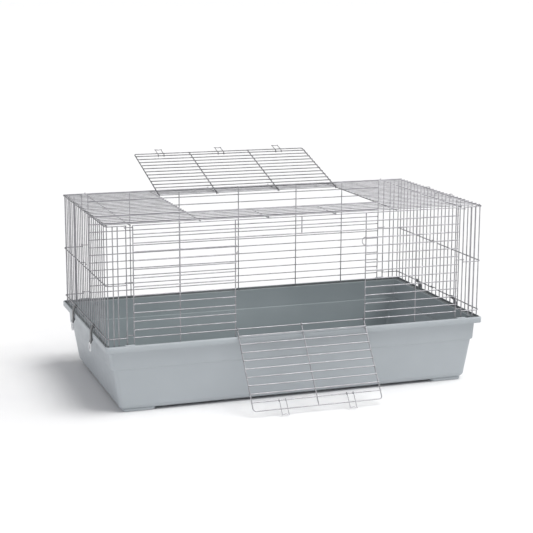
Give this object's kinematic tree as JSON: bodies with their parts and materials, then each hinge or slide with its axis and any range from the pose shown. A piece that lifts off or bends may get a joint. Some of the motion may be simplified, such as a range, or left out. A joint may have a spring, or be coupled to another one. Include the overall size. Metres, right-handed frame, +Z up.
{
  "type": "rabbit hutch",
  "caption": "Indoor rabbit cage: a deep plastic tray under a folding wire top with a drop-down front door and a lift-back roof door.",
  "frame": {"origin": "middle of the whole object's footprint with both doors open, on the surface the tray stands on", "axes": "+X along the length to the right as seen from the front, +Y from the front door to the back, +Z up"},
  "size_m": [1.0116, 0.8388, 0.5517],
  "materials": {
    "tray": "smooth moulded plastic with a soft sheen, light blue-grey",
    "tray_clip": "smooth moulded plastic, light grey",
    "wire": "bright zinc-plated steel wire"
  },
  "bodies": {
    "tray": {"tray": "tray"},
    "wire_cage": {"front_panel": "wire", "back_panel": "wire", "left_front_corner_panel": "wire", "left_rear_corner_panel": "wire", "right_front_corner_panel": "wire", "right_rear_corner_panel": "wire", "roof_panel": "wire", "joining_ring_front": "wire", "joining_ring_rear": "wire"},
    "front_door": {"front_door": "wire"},
    "roof_door": {"roof_door": "wire"},
    "front_clip_left": {"front_clip_left": "wire"},
    "front_clip_right": {"front_clip_right": "wire"},
    "roof_clip_left": {"roof_clip_left": "wire"},
    "roof_clip_centre": {"roof_clip_centre": "wire"},
    "roof_clip_right": {"roof_clip_right": "wire"},
    "tray_clip_left_front": {"tray_clip_left_front": "tray_clip"},
    "tray_clip_left_rear": {"tray_clip_left_rear": "tray_clip"},
    "tray_clip_right_front": {"tray_clip_right_front": "tray_clip"},
    "tray_clip_right_rear": {"tray_clip_right_rear": "tray_clip"}
  },
  "joints": [
    {"name": "cage_lift", "type": "slide", "parent": "tray", "child": "wire_cage", "axis": [0, 0, 1], "range_m": [0, 0.03]},
    {"name": "front_door_hinge", "type": "hinge", "parent": "wire_cage", "child": "front_door", "pos_m": [0, -0.2774, 0.188], "axis": [-1, 0, 0], "range_deg": [0, 144]},
    {"name": "roof_door_hinge", "type": "hinge", "parent": "wire_cage", "child": "roof_door", "pos_m": [0, 0.1351, 0.46405], "axis": [1, 0, 0], "range_deg": [0, 164]},
    {"name": "front_clip_left_pivot", "type": "hinge", "parent": "front_door", "child": "front_clip_left", "pos_m": [0, -0.39257, 0.03348], "axis": [-1, 0, 0], "range_deg": [0, 60]},
    {"name": "front_clip_right_pivot", "type": "hinge", "parent": "front_door", "child": "front_clip_right", "pos_m": [0, -0.39257, 0.03348], "axis": [-1, 0, 0], "range_deg": [0, 60]},
    {"name": "roof_clip_left_pivot", "type": "hinge", "parent": "roof_door", "child": "roof_clip_left", "pos_m": [0, 0.38246, 0.53742], "axis": [1, 0, 0], "range_deg": [0, 60]},
    {"name": "roof_clip_centre_pivot", "type": "hinge", "parent": "roof_door", "child": "roof_clip_centre", "pos_m": [0, 0.38246, 0.53742], "axis": [1, 0, 0], "range_deg": [0, 60]},
    {"name": "roof_clip_right_pivot", "type": "hinge", "parent": "roof_door", "child": "roof_clip_right", "pos_m": [0, 0.38246, 0.53742], "axis": [1, 0, 0], "range_deg": [0, 60]},
    {"name": "tray_clip_left_front_pivot", "type": "hinge", "parent": "wire_cage", "child": "tray_clip_left_front", "pos_m": [-0.494, -0.12795, 0.188], "axis": [0, 1, 0], "range_deg": [0, 105]},
    {"name": "tray_clip_left_rear_pivot", "type": "hinge", "parent": "wire_cage", "child": "tray_clip_left_rear", "pos_m": [-0.494, 0.09315, 0.188], "axis": [0, 1, 0], "range_deg": [0, 105]},
    {"name": "tray_clip_right_front_pivot", "type": "hinge", "parent": "wire_cage", "child": "tray_clip_right_front", "pos_m": [0.494, -0.12795, 0.188], "axis": [0, -1, 0], "range_deg": [0, 105]},
    {"name": "tray_clip_right_rear_pivot", "type": "hinge", "parent": "wire_cage", "child": "tray_clip_right_rear", "pos_m": [0.494, 0.09315, 0.188], "axis": [0, -1, 0], "range_deg": [0, 105]}
  ],
  "couplings": [
    {"joint": "tray_clip_left_front_pivot", "follows": "cage_lift", "rad_per_m": 60},
    {"joint": "tray_clip_left_rear_pivot", "follows": "cage_lift", "rad_per_m": 60},
    {"joint": "tray_clip_right_front_pivot", "follows": "cage_lift", "rad_per_m": 60},
    {"joint": "tray_clip_right_rear_pivot", "follows": "cage_lift", "rad_per_m": 60}
  ]
}
